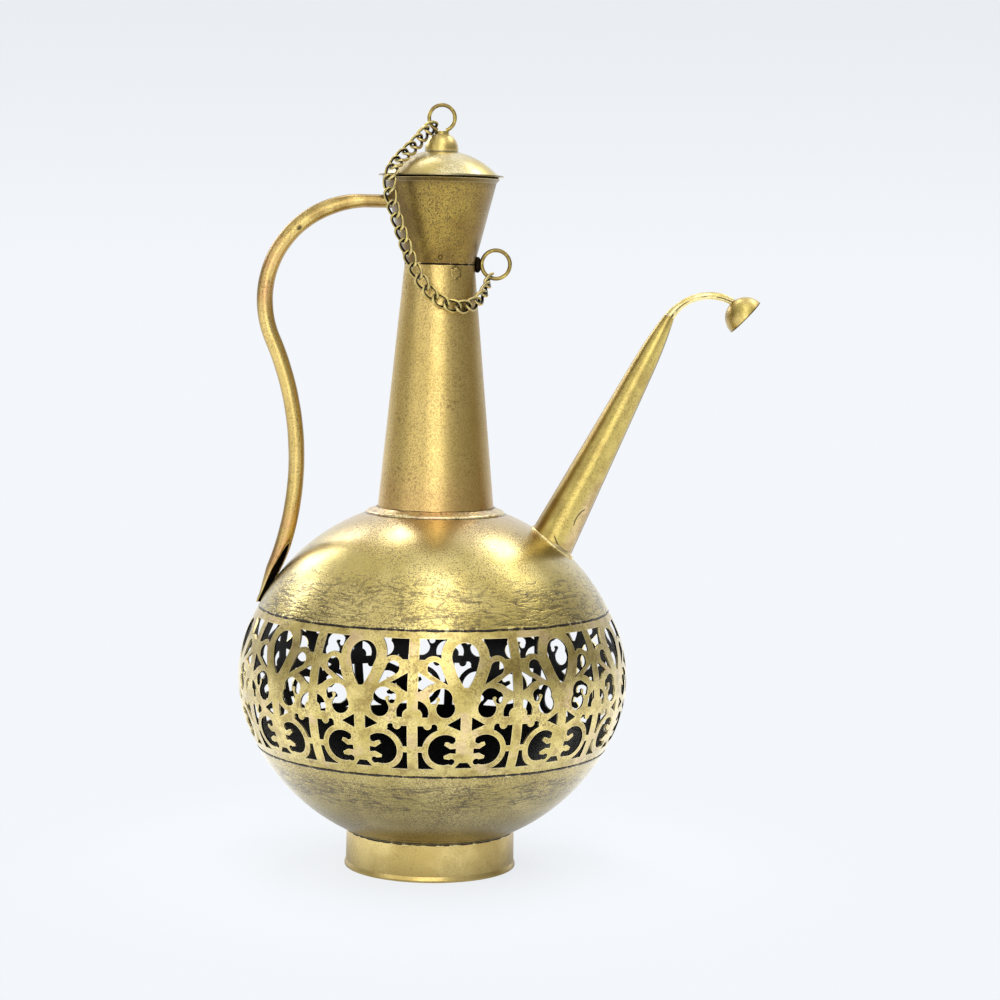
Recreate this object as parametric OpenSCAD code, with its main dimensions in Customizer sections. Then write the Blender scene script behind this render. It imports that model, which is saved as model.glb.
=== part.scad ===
// Brass ewer: hollow sheet body with a pierced scroll band, a lid tethered by a curb chain,
// an S-shaped tube handle and a cone spout that ends in a gooseneck and a small cup.
// Origin: centre of the foot's lower edge. +Z is up, +X points to the spout.

/* [Body] */
// Largest radius of the body, at the middle of the band
body_r = 126.5; // [125:0.5:129]
// Height of the middle of the band above the ground
band_mid_z = 125; // [123:0.5:127]
// Height of the pierced band between its two seams
band_h = 90; // [88:0.5:91]
// Radius of the body at both seams
seam_r = 114; // [113:0.5:115]
// Sphere radius of the shoulder dome
dome_r = 128; // [127:0.5:130]
// Sphere radius of the lower bowl
bowl_r = 130; // [128:0.5:132]
// Thickness of the sheet metal
sheet = 1.2; // [0.9:0.1:1.4]

/* [Band] */
// Width of the upright bars between the scroll panels
bar_w = 6.2; // [5.4:0.1:6.6]
// Turn of the first scroll panel from the front
panel_turn = 11; // [0:1:29]

/* [Foot] */
// Outer radius of the foot ring below the bowl
foot_r = 54.8; // [52:0.2:58]
// Extra radius at the flared lower edge
foot_flare = 1.2; // [0.4:0.1:2]

/* [Neck and mouth] */
// Outer radius of the neck at the dome
neck_base_r = 37.8; // [37:0.2:39]
// Outer radius at the waist seam
waist_r = 22.6; // [22.2:0.1:23]
// Height of the waist seam
waist_z = 392.5; // [391:0.5:394]
// Outer radius of the mouth
mouth_r = 35.7; // [35.2:0.1:36.4]
// Height of the mouth
mouth_z = 447; // [446:0.5:448]
// Outer radius of the washer round the foot of the neck
collar_r = 45.1; // [42:0.1:48]

/* [Handle] */
// Outer diameter of the handle tube
handle_d = 10.4; // [9:0.1:11]
// Height of the handle's top run
handle_top_z = 432; // [430:0.5:434]
// Bend radius of the upper bow
upper_bow_r = 64; // [62:0.5:66]
// Centre of the upper bow, left of the axis
upper_bow_x = 48.5; // [47:0.5:50]
// Height of the innermost point of the lower bow
lower_bow_z = 264.5; // [262:0.5:267]
// Distance of that point from the axis
lower_bow_x = 90.8; // [90:0.2:92]

/* [Spout] */
// Lean of the spout from upright
spout_lean = 26.3; // [26:0.1:26.6]
// Distance from the axis of the spout's axis, at the reference height
spout_x = 85.6; // [85:0.1:86.2]
// Reference height on the spout's axis
spout_z = 233.6; // [232:0.2:235]
// Outer radius of the spout at the reference height
spout_r = 13.85; // [13.4:0.05:14.2]
// Outer radius where the nose begins to close
nose_r = 7.8; // [7.5:0.1:8.1]
// Distance along the axis from the reference height to that place
nose_start = 106; // [104:0.5:108]
// Length of the nose
nose_l = 37; // [36:0.5:38]
// Outer radius at the tip of the nose
nose_tip_r = 3.4; // [3.2:0.1:3.6]
// Radius of the gooseneck stem
stem_r = 2.6; // [2.3:0.1:2.8]
// Outer radius of the half-ball cup
cup_r = 13.3; // [12.8:0.1:13.8]

/* [Lid] */
// Outer radius of the lid's flange
flange_r = 40.2; // [39.6:0.1:40.6]
// Rise of the lid's dome above the flange
lid_rise = 16; // [15.6:0.1:16.4]
// Radius of the half-ball knob
knob_r = 10.8; // [10.4:0.1:11]
// Outer radius of the ring on the knob
lid_ring_r = 9.5; // [9.2:0.1:9.6]
// Wire diameter of the ring on the knob
lid_wire = 2.5; // [2.3:0.1:2.6]

/* [Chain] */
// Wire diameter of the links
link_wire = 1.8; // [1.6:0.1:1.9]
// Outer width of a link
link_w = 9; // [8.8:0.1:9.2]
// Twist of each end of a link
link_twist = 46; // [44:1:48]
// Outer radius of the ring at the waist
neck_ring_r = 10.4; // [10.2:0.1:10.6]
// Wire diameter of the ring at the waist
neck_wire = 2.6; // [2.4:0.1:2.7]

/* [Hidden] */
link_count = 24;
function link_name(i) = str("chain_link_", i < 9 ? "0" : "", i + 1);
$fn = 128;

// Colours of the old brass
brass = "#a58a45";
pale_brass = "#b9a35e";
brown_brass = "#8a6f35";
dark_solder = "#3a3122";

// Body: the dome and the bowl are spheres through the seams, the band is a bulging arc between them
seam_lap = 0.4;
band_top_z = band_mid_z + band_h / 2;
band_low_z = band_mid_z - band_h / 2;
dome_c = band_top_z - sqrt(dome_r * dome_r - seam_r * seam_r);
bowl_c = band_low_z + sqrt(bowl_r * bowl_r - seam_r * seam_r);
band_sag = body_r - (seam_r - seam_lap);
band_r = (band_h * band_h / 4 + band_sag * band_sag) / (2 * band_sag);
band_c = body_r - band_r;
cut_near = seam_r - 3;
cut_depth = body_r - cut_near + 4;

// Scroll panels: heights are measured from the middle of the band
panels = 12;
panel_deg = 360 / panels;
rail_top = 40.5;
rail_low = -39.5;
drop_at = [0, 30];
drop_r = 8.5;
petal_at = [19.4, 23.4];
curl_at = [15, 5.5];
loop_at = [12.4, -26.6];
loop_in_r = 10;
loop_out_r = 13.5;
stem_half = 5.4;
curl_eye = [20.2, 4.2];
upper_hook_eye = [8.1, -20.4];
lower_hook_eye = [7.7, -34.4];
hook_eye_r = 2.1;
bud_at = [31, -4.7];
function band_radius(h) = band_c + sqrt(band_r * band_r - h * h);
function bar_x(h) = band_radius(h) * sin(panel_deg / 2) - bar_w / 2;

// Foot, neck and mouth
foot_lip = 3.5;
foot_top_z = bowl_c - bowl_r * 0.8;
neck_hole_r = 33;
neck_base_z = dome_c + sqrt(dome_r * dome_r - neck_base_r * neck_base_r);
rim_flare = 2.2;
rim_h = 2.5;
rim_edge = 1;
funnel_h = mouth_z - rim_h - waist_z;
funnel_slope = (mouth_r - waist_r) / funnel_h;
neck_slope = (neck_base_r - waist_r) / (waist_z - neck_base_z);
rivet_r = 1.6;
rivet_x = 1;
rivet_z = waist_z + 4.2;
lug_h = 10.5;
lug_w = 4.6;
neck_ring_x = 36.2;

// Handle: the lower bow touches the upper bow where the curve changes side
upper_bow_z = handle_top_z - upper_bow_r;
bow_dx = lower_bow_x - upper_bow_x;
bow_dz = upper_bow_z - lower_bow_z;
bow_gap = bow_dx * bow_dx + bow_dz * bow_dz - upper_bow_r * upper_bow_r;
lower_bow_r = bow_gap / (2 * (upper_bow_r - bow_dx));
bow_turn = atan2(bow_dz, bow_dx + lower_bow_r);
handle_wall = 1;
handle_top_l = 24;
handle_top_taper = 0.9;
sleeve_proud = 0.05;
sleeve_h = 1;
// its lower end is a straight taper, cut slanting so that the hollow faces the dome
lower_bow_end = 22;
handle_end_l = 17;
handle_end_r = 3;
taper_x = -lower_bow_x - lower_bow_r * (1 - cos(lower_bow_end));
taper_z = lower_bow_z - lower_bow_r * sin(lower_bow_end);
slant_x = -98;
slant_z = 201;
slant_turn = atan2(
    slant_x - taper_x + handle_end_l * sin(lower_bow_end),
    slant_z - taper_z + handle_end_l * cos(lower_bow_end)
);

// Spout
spout_wall = 1;
spout_base = -32;
spout_slope = (spout_r - nose_r) / nose_start;
nose_arc_r = (nose_l * nose_l) / (2 * (nose_r - spout_slope * nose_l - nose_tip_r));
nose_arc_tilt = atan(spout_slope);
spout_hole_r = 12;
flange_pad = 1.1;
flange_pad_r = 18;
nose_tip = nose_start + nose_l;
stem_start = nose_tip - 4;
stem_bow_r = 31;
stem_bow_x = spout_x + stem_start * sin(spout_lean) + stem_bow_r * cos(spout_lean);
stem_bow_z = spout_z + stem_start * cos(spout_lean) - stem_bow_r * sin(spout_lean);
stem_end_turn = 34;
cup_tilt = 133;
cup_reach = 23.1;
cup_rise = 17.4;
cup_x = stem_bow_x + cup_reach;
cup_z = stem_bow_z + cup_rise;

// Lid
flange_t = 1;
flange_gap = 0.3;
flange_z = mouth_z + rim_edge + flange_gap;
lid_dome_r = 37;
lid_sphere_r = (lid_dome_r * lid_dome_r + lid_rise * lid_rise) / (2 * lid_rise);
lid_sphere_z = flange_z + flange_t + lid_rise - lid_sphere_r;
lid_top_z = flange_z + flange_t + lid_rise;
skirt_r = 32.5;
skirt_h = 7.5;
ring_foot_r = 4.6;
ring_foot_h = 2;
ring_sink = 1.1;
knob_z = lid_top_z + 0.4;
knob_flat_z = knob_z + knob_r - 1.1;
lid_ring_z = knob_flat_z + ring_foot_h + lid_ring_r - ring_sink;
lid_ring_gap = 36;

// Chain: the route of its middle line, from the lid ring over the rim and across the front to the waist ring
chain_route = [
    [-4.4, 1, 480.5], [-10.6, -6.4, 476.9], [-14.9, -11.4, 469.6], [-19.6, -17.2, 464.8],
    [-24.9, -22, 459.4], [-29.1, -29.4, 453.8], [-31.5, -34.5, 446], [-31.1, -35.5, 436.4],
    [-27, -33.8, 421.9], [-20.9, -32, 404.1], [-15.2, -31.1, 389.6], [-7.6, -30, 377.3],
    [0.3, -29.1, 369.8], [8.4, -26.9, 366], [16, -23.3, 365.4], [21.9, -18.6, 367.2],
    [27.1, -13.4, 371.2], [30.4, -6.1, 378.6], [32.9, 0.9, 385.7]
];
route_steps = 12;
link_gap = 0.6;
link_rings = 20;
link_sides = 6;
link_round = 0.8;
hook_turn = 56;
hook_z = 478;
drape_turn = -14;
drape_z = 462;
rim_z = 454;
hang_z = 390;

// One point of a smooth curve through the route's points
function route_point(k) = chain_route[max(0, min(len(chain_route) - 1, k))];
function smooth_point(k, t) =
    let (a = route_point(k - 1), b = route_point(k), c = route_point(k + 1), d = route_point(k + 2))
    0.5 * (2 * b + t * (c - a) + t * t * (2 * a - 5 * b + 4 * c - d) + t * t * t * (3 * b - a - 3 * c + d));
route_line = concat(
    [for (k = [0:len(chain_route) - 2]) for (s = [0:route_steps - 1]) smooth_point(k, s / route_steps)],
    [chain_route[len(chain_route) - 1]]
);
function run_lengths(i = 1, sum = 0, out = [0]) =
    i >= len(route_line) ? out :
    let (next = sum + norm(route_line[i] - route_line[i - 1]))
    run_lengths(i + 1, next, concat(out, [next]));
route_runs = run_lengths();
link_pitch = route_runs[len(route_runs) - 1] / link_count;
function place_at(s) =
    let (past = [for (i = [1:len(route_runs) - 1]) if (route_runs[i] >= s - 1e-6) i], i = past[0])
    let (f = (s - route_runs[i - 1]) / (route_runs[i] - route_runs[i - 1]))
    route_line[i - 1] + f * (route_line[i] - route_line[i - 1]);
function unit(v) = v / norm(v);

// Frame of one link: middle, along, across, out. The links turn from the ring's wire to the front on the lid,
// and face outwards where they hang.
function share(v, low, high) = max(0, min(1, (v - low) / (high - low)));
function facing(p) =
    let (lid_turn = drape_turn + (hook_turn - drape_turn) * share(p[2], drape_z, hook_z))
    let (hang_turn = atan2(p[0], -p[1]))
    let (turn = hang_turn + share(p[2], hang_z, rim_z) * (lid_turn - hang_turn))
    [sin(turn), -cos(turn), 0];
function link_frame(i) =
    let (a = place_at(i * link_pitch), b = place_at((i + 1) * link_pitch), mid = (a + b) / 2)
    let (along = unit(b - a), across = unit(cross(facing(mid), along)))
    [mid, along, across, cross(along, across)];

// Middle line of a twisted link in its own frame, and the tube round it
link_half_l = (link_pitch + link_wire + link_gap) / 2;
link_half_w = (link_w - link_wire) / 2;
function soft_power(v) = sign(v) * pow(abs(v), link_round);
function link_line(t) =
    let (y = link_half_w * soft_power(sin(t)), twist = link_twist * cos(t))
    [link_half_l * soft_power(cos(t)), y * cos(twist), y * sin(twist)];
function link_skin(t, a) =
    let (p = link_line(t), along = unit(link_line(t + 1) - link_line(t - 1)))
    let (out = unit(p - (p * along) * along))
    p + link_wire / 2 * (cos(a) * out + sin(a) * cross(along, out));
link_points = [
    for (r = [0:link_rings - 1]) for (s = [0:link_sides - 1])
        link_skin((r + 0.5) * 360 / link_rings, s * 360 / link_sides)
];
function link_corner(r, s) = (r % link_rings) * link_sides + s % link_sides;
link_faces = concat(
    [for (r = [0:link_rings - 1]) for (s = [0:link_sides - 1])
        [link_corner(r, s), link_corner(r + 1, s), link_corner(r + 1, s + 1)]],
    [for (r = [0:link_rings - 1]) for (s = [0:link_sides - 1])
        [link_corner(r, s), link_corner(r + 1, s + 1), link_corner(r, s + 1)]]
);

// Section of a spun sphere cap between two heights
module cap_section(radius, centre_z, low_z, high_z) {
    intersection() {
        translate([0, centre_z]) difference() {
            circle(radius);
            circle(radius - sheet);
        }
        translate([0, low_z]) square([radius, high_z - low_z]);
    }
}

// Solid ball with the dome's or the bowl's outer face, used to seat pieces on it
module dome_ball(proud = 0) {
    translate([0, 0, dome_c]) sphere(dome_r + proud);
}
module bowl_ball() {
    translate([0, 0, bowl_c]) sphere(bowl_r);
}

// Turns a piece drawn along +Z onto the spout's axis
module on_spout() {
    translate([spout_x, 0, spout_z]) rotate([0, spout_lean, 0]) children();
}

// Round tube bent in the XZ plane: centre of the bend, its radius, and the angles from +X at its ends
module bent_tube(x, z, bend_r, from, to, tube_r) {
    translate([x, 0, z]) rotate([90, 0, 0])
        rotate_extrude(angle = to - from, start = from) translate([bend_r, 0]) circle(tube_r);
}

// Rounded opening that narrows to a tip
module drop_opening(at, radius, tip) {
    reach = norm(tip - at);
    lean = acos(radius / reach);
    heading = atan2(tip[1] - at[1], tip[0] - at[0]);
    inset = 0.97 * radius;
    translate(at) circle(radius);
    polygon([
        tip,
        at + inset * [cos(heading + lean), sin(heading + lean)],
        at + inset * [cos(heading - lean), sin(heading - lean)]
    ]);
}

// Openings of half a scroll panel, from its middle to the right-hand bar
module half_panel() {
    // top corner, between the drop's frame and the petal
    difference() {
        polygon([[8, rail_top], [bar_x(rail_top), rail_top], [bar_x(28.5), 28.5], [8, 28.5]]);
        translate(drop_at) circle(14.8);
        translate(petal_at) circle(7.4);
    }
    drop_opening(petal_at, 4.2, [11.2, 13.8]);
    // small triangle under the petal
    difference() {
        polygon([[bar_x(21), 21], [bar_x(9.2), 9.2], [18.8, 14.8]]);
        translate(petal_at) circle(7.2);
        translate(curl_at + [3, -1]) circle(10.2);
    }
    // upper scroll with its curl
    difference() {
        union() {
            translate(curl_at) circle(6.4);
            translate([12.8, -0.4]) circle(5.8);
            translate([19.4, 6.4]) circle(3.4);
        }
        translate([17.4, 5.2]) circle(1.3);
        polygon([[16.1, 5.1], [18.6, 5.6], [20.2, 2.2], [24, 3.4], [19.5, -1.5]]);
    }
    translate(curl_eye) circle(hook_eye_r);
    // crescent round the bud on the bar
    difference() {
        intersection() {
            translate([31, -3.5]) circle(8);
            polygon([[20, -6], [bar_x(-6), -6], [bar_x(8), 8], [20, 8]]);
        }
        translate(bud_at) circle(4.2);
    }
    // triangle beside the trunk
    polygon([[3.4, -5.6], [3.4, -14.3], [11.8, -10.5]]);
    // wedge beside the bar, with a lobe and a bead
    difference() {
        union() {
            polygon([
                [18.5, -11.3], [bar_x(-11.3), -11.3], [bar_x(-24.6), -24.6], [24, -24.6], [16.6, -14.6]
            ]);
            translate([19.6, -12.2]) circle(2.2);
        }
        translate(loop_at) circle(loop_out_r);
        translate([23.4, -11.2]) circle(2.4);
    }
    // lower loop with its two hooks
    difference() {
        intersection() {
            translate(loop_at) circle(loop_in_r);
            translate([stem_half, loop_at[1] - 20]) square(40);
        }
        polygon([[4, -25.4], [9, -25.8], [12.7, -23.3], [11.9, -21.3], [8, -22], [4, -16]]);
        polygon([[4, -29.2], [9, -28.6], [12.7, -30.6], [12.2, -32.3], [8, -33], [4, -37]]);
    }
    translate(upper_hook_eye) circle(hook_eye_r);
    translate(lower_hook_eye) circle(hook_eye_r);
    // triangle at the foot of the bar
    difference() {
        polygon([[16.5, rail_low], [bar_x(rail_low), rail_low], [bar_x(-28.3), -28.3], [20, -28.3]]);
        translate(loop_at) circle(loop_out_r);
    }
}

// All openings of one scroll panel
module panel_openings() {
    translate(drop_at) circle(drop_r);
    polygon([
        [-8.1, 27.6], [8.1, 27.6], [5.7, 20], [3.8, 16.2], [1.4, 12.2], [-1.4, 12.2], [-3.8, 16.2], [-5.7, 20]
    ]);
    polygon([[-5.5, -38.8], [5.5, -38.8], [2.5, -35], [-2.5, -35]]);
    half_panel();
    mirror([1, 0]) half_panel();
}

module foot_ring() {
    color(pale_brass) difference() {
        rotate_extrude() polygon([
            [foot_r - sheet, 0], [foot_r + foot_flare, 0], [foot_r + foot_flare, sheet],
            [foot_r + foot_flare / 4, foot_lip], [foot_r, foot_top_z], [foot_r - sheet, foot_top_z]
        ]);
        bowl_ball();
    }
}

module lower_bowl() {
    color(brass) rotate_extrude() cap_section(bowl_r, bowl_c, bowl_c - bowl_r, band_low_z);
}

// Section of the band's sheet: a bulging arc between the seams
module band_section() {
    intersection() {
        translate([band_c, band_mid_z]) difference() {
            circle(band_r);
            circle(band_r - sheet);
        }
        translate([band_c + band_r / 2, band_low_z]) square([band_r, band_h]);
    }
}

// Half of the band, from the middle of one bar to the bar opposite, with its scroll panels cut out
module band_half(first) {
    difference() {
        rotate_extrude(angle = 180, start = panel_turn + (first - 0.5) * panel_deg - 90) band_section();
        for (k = [first:first + panels / 2 - 1])
            rotate([0, 0, panel_turn + k * panel_deg]) translate([0, -cut_near, band_mid_z])
                rotate([90, 0, 0]) linear_extrude(cut_depth) panel_openings();
    }
}

module pierced_band() {
    color(brass) union() {
        band_half(0);
        band_half(panels / 2);
    }
}

module shoulder_dome() {
    color(brass) difference() {
        rotate_extrude() cap_section(dome_r, dome_c, band_top_z, dome_c + dome_r);
        translate([0, 0, dome_c]) cylinder(r = neck_hole_r, h = 2 * dome_r);
        on_spout() translate([0, 0, -60]) cylinder(r = spout_hole_r, h = 120);
    }
}

module neck_collar() {
    color(pale_brass) difference() {
        intersection() {
            dome_ball(sheet);
            translate([0, 0, dome_c]) cylinder(r = collar_r, h = 2 * dome_r);
        }
        dome_ball();
        translate([0, 0, dome_c]) cylinder(r = neck_base_r + 0.3, h = 2 * dome_r);
    }
}

module neck_cone() {
    drop = 6;
    foot_x = neck_base_r + neck_slope * drop;
    foot_z = neck_base_z - drop;
    color(brown_brass) difference() {
        rotate_extrude() polygon([
            [foot_x - sheet, foot_z], [foot_x, foot_z], [waist_r, waist_z], [waist_r - sheet, waist_z]
        ]);
        dome_ball();
    }
}

module mouth_funnel() {
    color(brown_brass) rotate_extrude() polygon([
        [waist_r - sheet, waist_z], [waist_r, waist_z], [mouth_r, mouth_z - rim_h],
        [mouth_r + rim_flare, mouth_z], [mouth_r + rim_flare - sheet, mouth_z + rim_edge],
        [mouth_r - sheet, mouth_z - rim_h + rim_edge]
    ]);
}

// Solid cone with the funnel's outer face, used to seat pieces on it
module funnel_core() {
    translate([0, 0, waist_z]) cylinder(r1 = waist_r, r2 = mouth_r, h = funnel_h);
}

module waist_rivet() {
    color(pale_brass) difference() {
        translate([rivet_x, -waist_r - funnel_slope * (rivet_z - waist_z), rivet_z]) sphere(rivet_r);
        funnel_core();
    }
}

module neck_lug() {
    color(dark_solder) difference() {
        translate([0, -lug_w / 2, waist_z - lug_h / 2])
            cube([neck_ring_x - neck_ring_r + neck_wire * 0.35, lug_w, lug_h]);
        rotate_extrude() polygon([
            [0, waist_z - lug_h], [waist_r + neck_slope * lug_h, waist_z - lug_h], [waist_r, waist_z],
            [waist_r + funnel_slope * lug_h, waist_z + lug_h], [0, waist_z + lug_h]
        ]);
        neck_ring_wire();
    }
}

module neck_ring_wire() {
    translate([neck_ring_x, 0, waist_z + 0.4]) rotate([90, 0, 0])
        rotate_extrude() translate([neck_ring_r - neck_wire / 2, 0]) circle(neck_wire / 2);
}

module neck_ring() {
    color(pale_brass) neck_ring_wire();
}

// Hair-thin sleeve over the end of a bent tube, which joins it to the next run
module run_sleeve(x, z, bend_r, turn, tube_r) {
    translate([x, 0, z]) rotate([0, -turn, 0]) translate([bend_r, 0, -sleeve_h / 2])
        cylinder(r = tube_r + sleeve_proud, h = sleeve_h);
}

// Handle's outer or inner round, from the funnel along both bows to the dome
module handle_run(tube_r, end_r, end_l) {
    translate([-upper_bow_x, 0, handle_top_z]) rotate([0, 90, 0])
        cylinder(r1 = tube_r, r2 = tube_r - handle_top_taper, h = handle_top_l);
    bent_tube(-upper_bow_x, upper_bow_z, upper_bow_r, 90, 180 + bow_turn, tube_r);
    run_sleeve(-upper_bow_x, upper_bow_z, upper_bow_r, 180 + bow_turn, tube_r);
    bent_tube(-lower_bow_x - lower_bow_r, lower_bow_z, lower_bow_r, -lower_bow_end, bow_turn, tube_r);
    run_sleeve(-lower_bow_x - lower_bow_r, lower_bow_z, lower_bow_r, -lower_bow_end, tube_r);
    translate([taper_x, 0, taper_z]) rotate([0, 180 + lower_bow_end, 0])
        cylinder(r1 = tube_r, r2 = end_r, h = end_l);
}

module handle_tube() {
    color("#a8793f") difference() {
        handle_run(handle_d / 2, handle_end_r, handle_end_l);
        handle_run(handle_d / 2 - handle_wall, handle_end_r - handle_wall, handle_end_l + handle_wall);
        dome_ball();
        funnel_core();
        translate([slant_x, 0, slant_z]) rotate([0, slant_turn, 0])
            translate([0, -handle_d, -2 * handle_end_l]) cube([handle_end_l, 2 * handle_d, 2 * handle_end_l]);
    }
}

module spout_flange() {
    color(pale_brass) difference() {
        intersection() {
            dome_ball(flange_pad);
            on_spout() translate([0, 0, -60]) cylinder(r = flange_pad_r, h = 120);
        }
        dome_ball();
        on_spout() spout_solid(0.1);
    }
}

// Outer form of the spout: a cone that closes to the nose along an arc
module spout_solid(proud = 0) {
    rotate_extrude() {
        polygon([
            [0, spout_base], [spout_r - spout_slope * spout_base + proud, spout_base],
            [nose_r + proud, nose_start], [0, nose_start]
        ]);
        intersection() {
            translate([0, nose_start]) square([nose_r + proud, nose_l]);
            translate([nose_r + proud, nose_start] - nose_arc_r * [cos(nose_arc_tilt), sin(nose_arc_tilt)])
                circle(nose_arc_r, $fn = 720);
        }
    }
}

module spout_cone() {
    color(brass) difference() {
        on_spout() spout_solid();
        on_spout() translate([0, 0, spout_base - 1]) cylinder(
            r1 = spout_r - spout_slope * spout_base - spout_wall, r2 = nose_r - spout_wall - 1,
            h = nose_start - spout_base + 12
        );
        dome_ball();
    }
}

module spout_gooseneck() {
    color(pale_brass) difference() {
        bent_tube(stem_bow_x, stem_bow_z, stem_bow_r, 90 - stem_end_turn, 180 - spout_lean, stem_r);
        on_spout() translate([0, 0, nose_start]) cylinder(r = 2 * nose_r, h = nose_l);
        translate([cup_x, 0, cup_z]) sphere(cup_r);
    }
}

module spout_cup() {
    color(pale_brass) translate([cup_x, 0, cup_z]) rotate([0, cup_tilt, 0])
        rotate_extrude() intersection() {
            difference() {
                circle(cup_r);
                circle(cup_r - sheet);
            }
            translate([0, -cup_r]) square(cup_r);
        }
}

module lid_cap() {
    color(pale_brass) rotate_extrude() difference() {
        union() {
            translate([0, flange_z]) square([flange_r, flange_t]);
            intersection() {
                translate([0, lid_sphere_z]) circle(lid_sphere_r);
                translate([0, flange_z]) square([lid_dome_r, lid_rise + 2]);
            }
        }
        intersection() {
            translate([0, lid_sphere_z]) circle(lid_sphere_r - sheet);
            translate([0, flange_z - 1]) square([lid_dome_r - sheet, lid_rise + 3]);
        }
    }
}

module lid_skirt() {
    color(brass) rotate_extrude() intersection() {
        translate([skirt_r - sheet, flange_z - skirt_h]) square([sheet, skirt_h + lid_rise]);
        translate([0, lid_sphere_z]) circle(lid_sphere_r - sheet);
    }
}

module lid_knob() {
    color(pale_brass) difference() {
        intersection() {
            translate([0, 0, knob_z]) sphere(knob_r);
            translate([0, 0, knob_flat_z - 2 * knob_r]) cylinder(r = 2 * knob_r, h = 2 * knob_r);
        }
        translate([0, 0, lid_sphere_z]) sphere(lid_sphere_r);
    }
}

module lid_ring() {
    color(brown_brass) union() {
        translate([0, 0, knob_flat_z]) cylinder(r = ring_foot_r, h = ring_foot_h);
        bent_tube(
            0, lid_ring_z, lid_ring_r - lid_wire / 2,
            lid_ring_gap / 2 - 90, 270 - lid_ring_gap / 2, lid_wire / 2
        );
    }
}

module chain_link(i) {
    frame = link_frame(i);
    color(pale_brass) polyhedron(
        points = [for (p = link_points) frame[0] + p[0] * frame[1] + p[1] * frame[2] + p[2] * frame[3]],
        faces = link_faces
    );
}

foot_ring();
lower_bowl();
pierced_band();
shoulder_dome();
neck_collar();
neck_cone();
mouth_funnel();
waist_rivet();
neck_lug();
neck_ring();
handle_tube();
spout_flange();
spout_cone();
spout_gooseneck();
spout_cup();
lid_cap();
lid_skirt();
lid_knob();
lid_ring();
for (i = [0:link_count - 1]) chain_link(i);
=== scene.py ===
"""Old brass ewer with a pierced scroll band, a tethered lid and a gooseneck spout.

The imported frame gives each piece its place. This script gives the pieces their finishes, models the chain, the handle,
the stem and the soldered joints more closely, and sets the light and the camera. Lengths are in metres unless a
comment says otherwise, +Z is up and +X points to the spout.
"""

import math

import bmesh
import bpy
from mathutils import Matrix, Vector, noise


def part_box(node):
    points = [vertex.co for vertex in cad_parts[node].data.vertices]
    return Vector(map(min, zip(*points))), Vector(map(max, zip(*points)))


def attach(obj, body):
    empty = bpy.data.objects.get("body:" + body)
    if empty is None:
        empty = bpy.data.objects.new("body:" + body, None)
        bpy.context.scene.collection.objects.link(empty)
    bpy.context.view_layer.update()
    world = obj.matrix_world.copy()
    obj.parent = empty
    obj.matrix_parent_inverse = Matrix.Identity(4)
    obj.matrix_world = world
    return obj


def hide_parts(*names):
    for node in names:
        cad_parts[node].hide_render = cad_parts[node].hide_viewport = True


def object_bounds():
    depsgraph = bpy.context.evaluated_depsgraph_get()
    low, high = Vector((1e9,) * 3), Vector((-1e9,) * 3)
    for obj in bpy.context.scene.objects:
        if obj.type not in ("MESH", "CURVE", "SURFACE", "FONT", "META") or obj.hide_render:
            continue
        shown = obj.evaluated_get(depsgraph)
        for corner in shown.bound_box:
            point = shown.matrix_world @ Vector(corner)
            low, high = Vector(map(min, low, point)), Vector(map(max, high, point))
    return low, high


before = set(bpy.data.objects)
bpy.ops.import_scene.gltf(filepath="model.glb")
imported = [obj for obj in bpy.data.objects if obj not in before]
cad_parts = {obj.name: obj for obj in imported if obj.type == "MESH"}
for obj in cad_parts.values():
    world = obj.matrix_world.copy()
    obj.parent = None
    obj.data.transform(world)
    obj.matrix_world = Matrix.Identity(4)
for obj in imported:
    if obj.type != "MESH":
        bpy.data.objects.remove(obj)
cad_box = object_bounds()

MM = 0.001

# Brass in its different ages, as linear colours
GOLD = (0.70, 0.52, 0.185, 1)
PALE_GOLD = (0.80, 0.68, 0.34, 1)
BRIGHT_GOLD = (0.80, 0.62, 0.24, 1)
HANDLE_GOLD = (0.66, 0.49, 0.17, 1)
DOME_GOLD = (0.71, 0.58, 0.215, 1)
NECK_GOLD = (0.60, 0.44, 0.14, 1)
OLIVE = (0.50, 0.395, 0.105, 1)
FUNNEL_GOLD = (0.22, 0.138, 0.027, 1)
FUNNEL_PALE = (0.35, 0.245, 0.054, 1)
RUSSET = (0.22, 0.13, 0.03, 1)
CHAIN_DARK = (0.20, 0.14, 0.04, 1)
CHAIN_GOLD = (0.36, 0.28, 0.10, 1)
LID_PALE = (0.82, 0.73, 0.43, 1)
SPOUT_GOLD = (0.58, 0.45, 0.13, 1)
ROSE = (0.66, 0.48, 0.29, 1)
BROWN = (0.17, 0.105, 0.035, 1)
UMBER = (0.075, 0.05, 0.02, 1)
COPPER = (0.55, 0.29, 0.13, 1)
WARM_BLACK = (0.016, 0.010, 0.004, 1)
NEAR_BLACK = (0.006, 0.006, 0.006, 1)

# Roughness of the lacquer
COAT_ROUGH = 0.26

# Heights of the joints between the sheet pieces, read from the frame
LOW_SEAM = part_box("pierced_band")[0][2]
TOP_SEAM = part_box("pierced_band")[1][2]
FOOT_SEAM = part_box("foot_ring")[1][2]
NECK_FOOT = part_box("neck_cone")[0][2]
COLLAR_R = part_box("neck_collar")[1][0]
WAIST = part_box("mouth_funnel")[0][2]
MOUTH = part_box("mouth_funnel")[1][2]
LID_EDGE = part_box("lid_cap")[0][2]
KNOB_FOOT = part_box("lid_knob")[0][2]

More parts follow.
